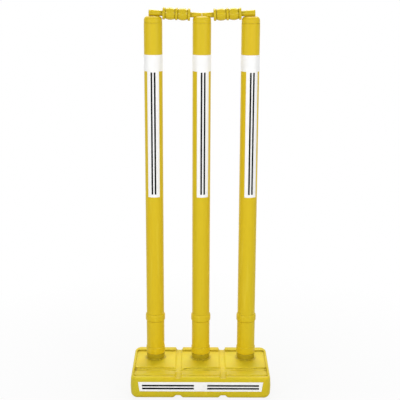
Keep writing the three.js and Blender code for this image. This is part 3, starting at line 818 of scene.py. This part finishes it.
def bailProfile():
    b = bail
    bodyEnd = b["length"] - b["innerLength"]
    middle = (outerLength + bodyEnd) / 2
    ring = b["ringWidth"] / 2
    tip = b["innerRadius"] - b["innerTaper"]
    dip = b["dip"]
    grooveRadius = b["barrelEnd"] - dip
    aside = ring + b["ringGroove"] * 0.6  # from the middle of the ring to the deepest place beside it
    outerFlange = outerLength + b["flangeWidth"]
    innerFlange = bodyEnd - b["flangeWidth"]
    outer, inner = b["flangeOuterRound"], b["flangeInnerRound"]
    outerEnd = softened([
        (0, 0), (b["outerRadius"], 0, b["spigotRound"]),
        (b["outerRadius"] - b["outerTaper"], outerLength, 0.5), (b["flangeRadius"], outerLength, outer),
        (b["flangeRadius"], outerFlange, inner), (grooveRadius, outerFlange + dip, dip),
    ])
    middleRing = softened([
        (grooveRadius, middle - aside, dip), (b["ringRadius"], middle - ring, b["ringRound"]),
        (b["ringRadius"], middle + ring, b["ringRound"]), (grooveRadius, middle + aside, dip),
    ])
    innerEnd = softened([
        (grooveRadius, innerFlange - dip, dip), (b["flangeRadius"], innerFlange, inner),
        (b["flangeRadius"], bodyEnd, outer), (b["innerRadius"], bodyEnd, 0.5),
        (tip, b["length"], 0.2), (0, b["length"]),
    ])
    first = barrelCurve(outerFlange + b["ringGroove"], middle - ring - b["ringGroove"])
    second = barrelCurve(middle + ring + b["ringGroove"], innerFlange - b["ringGroove"])
    return outerEnd + first + middleRing + second + innerEnd


def spigotSpace(side):
    # what the caps leave free for one bail: its two spigots with the gap round them
    b = bail
    outer = b["outerRadius"] + wicket["seatGap"]
    inner = b["innerRadius"] + wicket["seatGap"]
    tip = b["length"] + b["middleGap"]
    space = turnPiece("spigotSpace", [
        (0, -stump["capRadius"]), (outer, -stump["capRadius"]), (outer, 0),
        (outer - b["outerTaper"], outerLength), (inner, b["length"] - b["innerLength"]),
        (inner - b["innerTaper"], tip), (0, tip),
    ], bailPlastic, steps=64)
    return layAsBail(space, side)


for place, side in (("left", -1), ("right", 1)):
    piece = layAsBail(turnPiece("bailTurned." + place, bailProfile(), bailPlastic, steps=72), side)
    finishPiece(piece, "bail_" + place, "bail_plastic", "bail_" + place)
print("bails turned")


# Caps, with the groove that the bails lie in
def capProfile():
    s = stump
    plugEnd = capZ - s["capPlug"]
    bore = s["neckRadius"] - s["capWall"]
    ceiling = capZ + s["capWall"]
    arch = s["capWall"] / 2  # how far the ceiling of the hollow rises and its edge drops
    leadIn = s["capWall"] / 4
    domeFoot = (s["capRadius"], wicket["topZ"] - s["capRound"])
    body = softened([
        (0, ceiling + arch), (bore / 2, ceiling + arch, 2), (bore, ceiling - arch, 1), (bore, plugEnd, 0.4),
        (s["neckRadius"] - leadIn, plugEnd, 0.4), (s["neckRadius"], plugEnd + s["capWall"], 0.5),
        (s["neckRadius"], capZ, 0.2), (s["capRadius"], capZ, 0.2), domeFoot,
    ])
    dome = quarterArc(domeFoot, (s["capRadius"] - s["capRound"], wicket["topZ"]), 12)
    return body + dome[1:] + [(0, wicket["topZ"])]


for place, x in stumpX.items():
    cap = turnPiece("capMoulding." + place, capProfile(), stumpPlastic)
    moveMesh(cap, (x, wicket["rowY"], 0))
    spaces = [spigotSpace(side) for side in (-1, 1)]
    cutFrom(cap, spaces)
    for space in spaces:
        dropPiece(space)
    finishPiece(cap, "stump_" + place, "cap_plastic", "cap_" + place)
print("caps cut")


# Labels of film, with the stripes as faces of their own
label = {
    "gap": 0.2, "film": 0.25, "turns": {"left": 0, "middle": 9, "right": 12},
    "top": 684.9, "headBottom": 652.5, "bottom": 397.4, "stripWidth": 23.3, "seam": 4,
    "stripeTop": 650.9, "stripeBottom": 403.4, "stripeWidth": 3.6, "stripeMiddle": 3.2,
    "columnStep": 1.3, "rowStep": 8,
}
plate = {
    "topWidth": 254, "bottomWidth": 248, "rise": 15, "height": 20.4,
    "stripes": ((19.4, 23.2), (25.7, 29.5)), "stripeEnd": 119, "stripeStart": 13.5,
}


def between(edges, longest):
    # the edges with even steps between them
    out = [edges[0]]
    for a, b in zip(edges, edges[1:]):
        cuts = max(1, math.ceil((b - a) / longest))
        out += [a + (b - a) * (i + 1) / cuts for i in range(cuts)]
    return out


def filmPiece(name, columns, rows, kept, inked, placeOf):
    work = bmesh.new()
    made = {}

    def corner(i, j):
        if (i, j) not in made:
            made[i, j] = work.verts.new(Vector(placeOf(columns[i], rows[j])) * mm)
        return made[i, j]

    for i in range(len(columns) - 1):
        for j in range(len(rows) - 1):
            u, v = (columns[i] + columns[i + 1]) / 2, (rows[j] + rows[j + 1]) / 2
            if kept(u, v):
                around = ((i, j), (i + 1, j), (i + 1, j + 1), (i, j + 1))
                face = work.faces.new([corner(*at) for at in around])
                face.smooth = True
                face.material_index = 1 if inked(u, v) else 0
    mesh = bpy.data.meshes.new(name)
    work.to_mesh(mesh)
    work.free()
    mesh.materials.append(whiteFilm)
    mesh.materials.append(darkInk)
    piece = meshObject(name, mesh)
    solid = piece.modifiers.new("film", "SOLIDIFY")
    solid.thickness = label["film"] * mm
    solid.offset = -1
    bakeModifiers(piece)
    piece.data.set_sharp_from_angle(angle=sharpAngle)
    return piece


def stumpLabel(place, x):
    # a head that goes round the tube and a striped strip below it; u runs round the tube, v is height
    radius = stump["tubeRadius"] + label["gap"] + label["film"]
    half = radius * math.asin(label["stripWidth"] / 2 / radius)
    near = label["stripeMiddle"] - label["stripeWidth"] / 2
    far = label["stripeMiddle"] + label["stripeWidth"] / 2
    reach = math.pi * radius - label["seam"] / 2
    columns = between([-reach, -half, -far, -near, near, far, half, reach], label["columnStep"])
    heights = [label[edge] for edge in ("bottom", "stripeBottom", "stripeTop", "headBottom", "top")]
    rows = between(heights, label["rowStep"])
    turn = math.radians(label["turns"][place])

    def placeOf(u, v):
        angle = u / radius + turn
        return (x + radius * math.sin(angle), wicket["rowY"] - radius * math.cos(angle), v)

    def kept(u, v):
        return v > label["headBottom"] or abs(u) < half

    def inked(u, v):
        return near < abs(u) < far and label["stripeBottom"] < v < label["stripeTop"]

    return filmPiece("labelFilm." + place, columns, rows, kept, inked, placeOf)


def plateLabel():
    # flat film on the front face, with two stripes left and right of a bare middle
    y = base["middleY"] - base["depth"] / 2 - label["gap"] - label["film"]
    top = plate["rise"] + plate["height"]
    wide = 1000  # past both slanted ends, which placeOf brings back to the edge
    stops = (-wide, -plate["stripeEnd"], -plate["stripeStart"])
    columns = [*stops, *(-u for u in reversed(stops))]
    rows = [plate["rise"], *plate["stripes"][0], *plate["stripes"][1], top]

    def placeOf(u, v):
        share = (v - plate["rise"]) / plate["height"]
        edge = (plate["bottomWidth"] + (plate["topWidth"] - plate["bottomWidth"]) * share) / 2
        return (max(-edge, min(edge, u)), y, v)

    def inked(u, v):
        onRow = any(low < v < high for low, high in plate["stripes"])
        return onRow and plate["stripeStart"] < abs(u) < plate["stripeEnd"]

    return filmPiece("baseLabelFilm", columns, rows, lambda u, v: True, inked, placeOf)


for place, x in stumpX.items():
    finishPiece(stumpLabel(place, x), "stump_" + place, "label_film", "label_" + place)
finishPiece(plateLabel(), "base", "label_film", "base_label")
print("labels laid")


# Filler plug
plug = {
    "radius": 7.7, "taper": 0.5, "headRadius": 10.5, "headThickness": 2.6, "shank": 8,
    "slotWidth": 2.4, "slotLength": 14, "slotDepth": 1.2,
}


def buildPlug():
    # turned on its axis, slotted for a coin or a blade, and laid into the back face
    p = plug
    top = p["shank"] + p["headThickness"]
    piece = turnPiece("plugMoulding", softened([
        (0, 0), (p["radius"] - p["taper"], 0, 0.6), (p["radius"], p["shank"], 0.3),
        (p["headRadius"], p["shank"], 0.4), (p["headRadius"], top, 0.7), (0, top),
    ]), basePlastic, steps=72)
    work = bmesh.new()
    bmesh.ops.create_cube(work, size=1)
    slotSize = Vector((p["slotLength"], p["slotWidth"], 2 * p["slotDepth"])) * mm
    bmesh.ops.scale(work, vec=slotSize, verts=work.verts)
    bmesh.ops.translate(work, vec=Vector((0, 0, top)) * mm, verts=work.verts)
    mesh = bpy.data.meshes.new("plugSlot")
    work.to_mesh(mesh)
    work.free()
    mesh.materials.append(basePlastic)
    slot = meshObject("plugSlot", mesh)
    cutFrom(piece, [slot])
    dropPiece(slot)
    back = base["depth"] / 2 + base["middleY"]
    lay = Matrix.Rotation(-math.pi / 2, 4, "X")
    piece.data.transform(Matrix.Translation(Vector((base["plugX"], back - top, base["plugZ"])) * mm) @ lay)
    finishPiece(piece, "plug", "plug_plastic", "filler_plug")


buildPlug()
print("plug turned")


# Floor, world and lamps
studio = {
    "floorSize": 12, "floorLift": -0.0005, "floorColor": (0.55, 0.55, 0.55, 1), "world": 0.38,
    "shadowShare": 0.12, "shadowReach": (0.16, 0.75),  # the floor's own shading fades out with distance
}


def backdropRays(tree):
    # rays that see the white backdrop: straight from the camera, in a gloss, or through a clear piece
    path = addNode(tree, "ShaderNodeLightPath").outputs
    seen = mathNode(tree, "MAXIMUM", path["Is Camera Ray"], path["Is Glossy Ray"])
    return mathNode(tree, "MAXIMUM", seen, path["Is Transmission Ray"])


def buildStage():
    material = bpy.data.materials.new("floorWhite")
    material.use_nodes = True
    tree = material.node_tree
    tree.nodes.clear()
    out = addNode(tree, "ShaderNodeOutputMaterial")
    plain = addNode(tree, "ShaderNodeBsdfDiffuse", {"Color": studio["floorColor"]})
    white = addNode(tree, "ShaderNodeEmission", {"Color": (1, 1, 1, 1), "Strength": 1})
    mix = addNode(tree, "ShaderNodeMixShader")
    place = addNode(tree, "ShaderNodeTexCoord")
    distance = addNode(tree, "ShaderNodeVectorMath", operation="LENGTH")
    tree.links.new(place.outputs["Object"], distance.inputs[0])
    near, far = studio["shadowReach"]
    whiteness = spread(tree, distance.outputs["Value"], 1 - studio["shadowShare"], 1, near, far)
    share = mathNode(tree, "MULTIPLY", backdropRays(tree), whiteness)
    link(tree, [
        (share, mix.inputs[0]), (plain.outputs[0], mix.inputs[1]), (white.outputs[0], mix.inputs[2]),
        (mix.outputs[0], out.inputs[0]),
    ])
    mesh = bpy.data.meshes.new("studioFloor")
    s = studio["floorSize"] / 2
    mesh.from_pydata([(-s, -s, 0), (s, -s, 0), (s, s, 0), (-s, s, 0)], [], [(0, 1, 2, 3)])
    mesh.materials.append(material)
    mesh.transform(Matrix.Translation((0, 0, studio["floorLift"])))
    meshObject("studioFloor", mesh)

    world = bpy.data.worlds.new("studioWorld")
    bpy.context.scene.world = world
    world.use_nodes = True
    tree = world.node_tree
    ground = tree.nodes["Background"]
    lift = mathNode(tree, "MULTIPLY", backdropRays(tree), 1 - studio["world"])
    ground.inputs["Color"].default_value = (1, 1, 1, 1)
    tree.links.new(mathNode(tree, "ADD", lift, studio["world"]), ground.inputs["Strength"])


lamps = {
    "back": {"place": (0, 1.3, 2.3), "aim": (0, 0, 0.2), "size": (1.6, 1.2), "power": 53},
    "left": {"place": (-1.3, -1.3, 1.1), "aim": (0, 0, 0.6), "size": (0.7, 1.2), "power": 12.6},
    "right": {"place": (1.3, -1.3, 1.1), "aim": (0, 0, 0.6), "size": (0.7, 1.2), "power": 12.6},
    "front": {"place": (0, -2.3, 0.4), "aim": (0, 0, 0.3), "size": (1.5, 0.7), "power": 7},
}


def buildLamps():
    for name, lamp in lamps.items():
        data = bpy.data.lights.new(name, "AREA")
        data.shape = "RECTANGLE"
        data.size, data.size_y = lamp["size"]
        data.energy = lamp["power"]
        light = bpy.data.objects.new(name, data)
        light.location = lamp["place"]
        aim = Vector(lamp["aim"]) - Vector(lamp["place"])
        light.rotation_euler = aim.to_track_quat("-Z", "Y").to_euler()
        bpy.context.scene.collection.objects.link(light)


buildStage()
buildLamps()
bpy.context.scene.view_settings.view_transform = "Standard"
print("stage and lamps set")
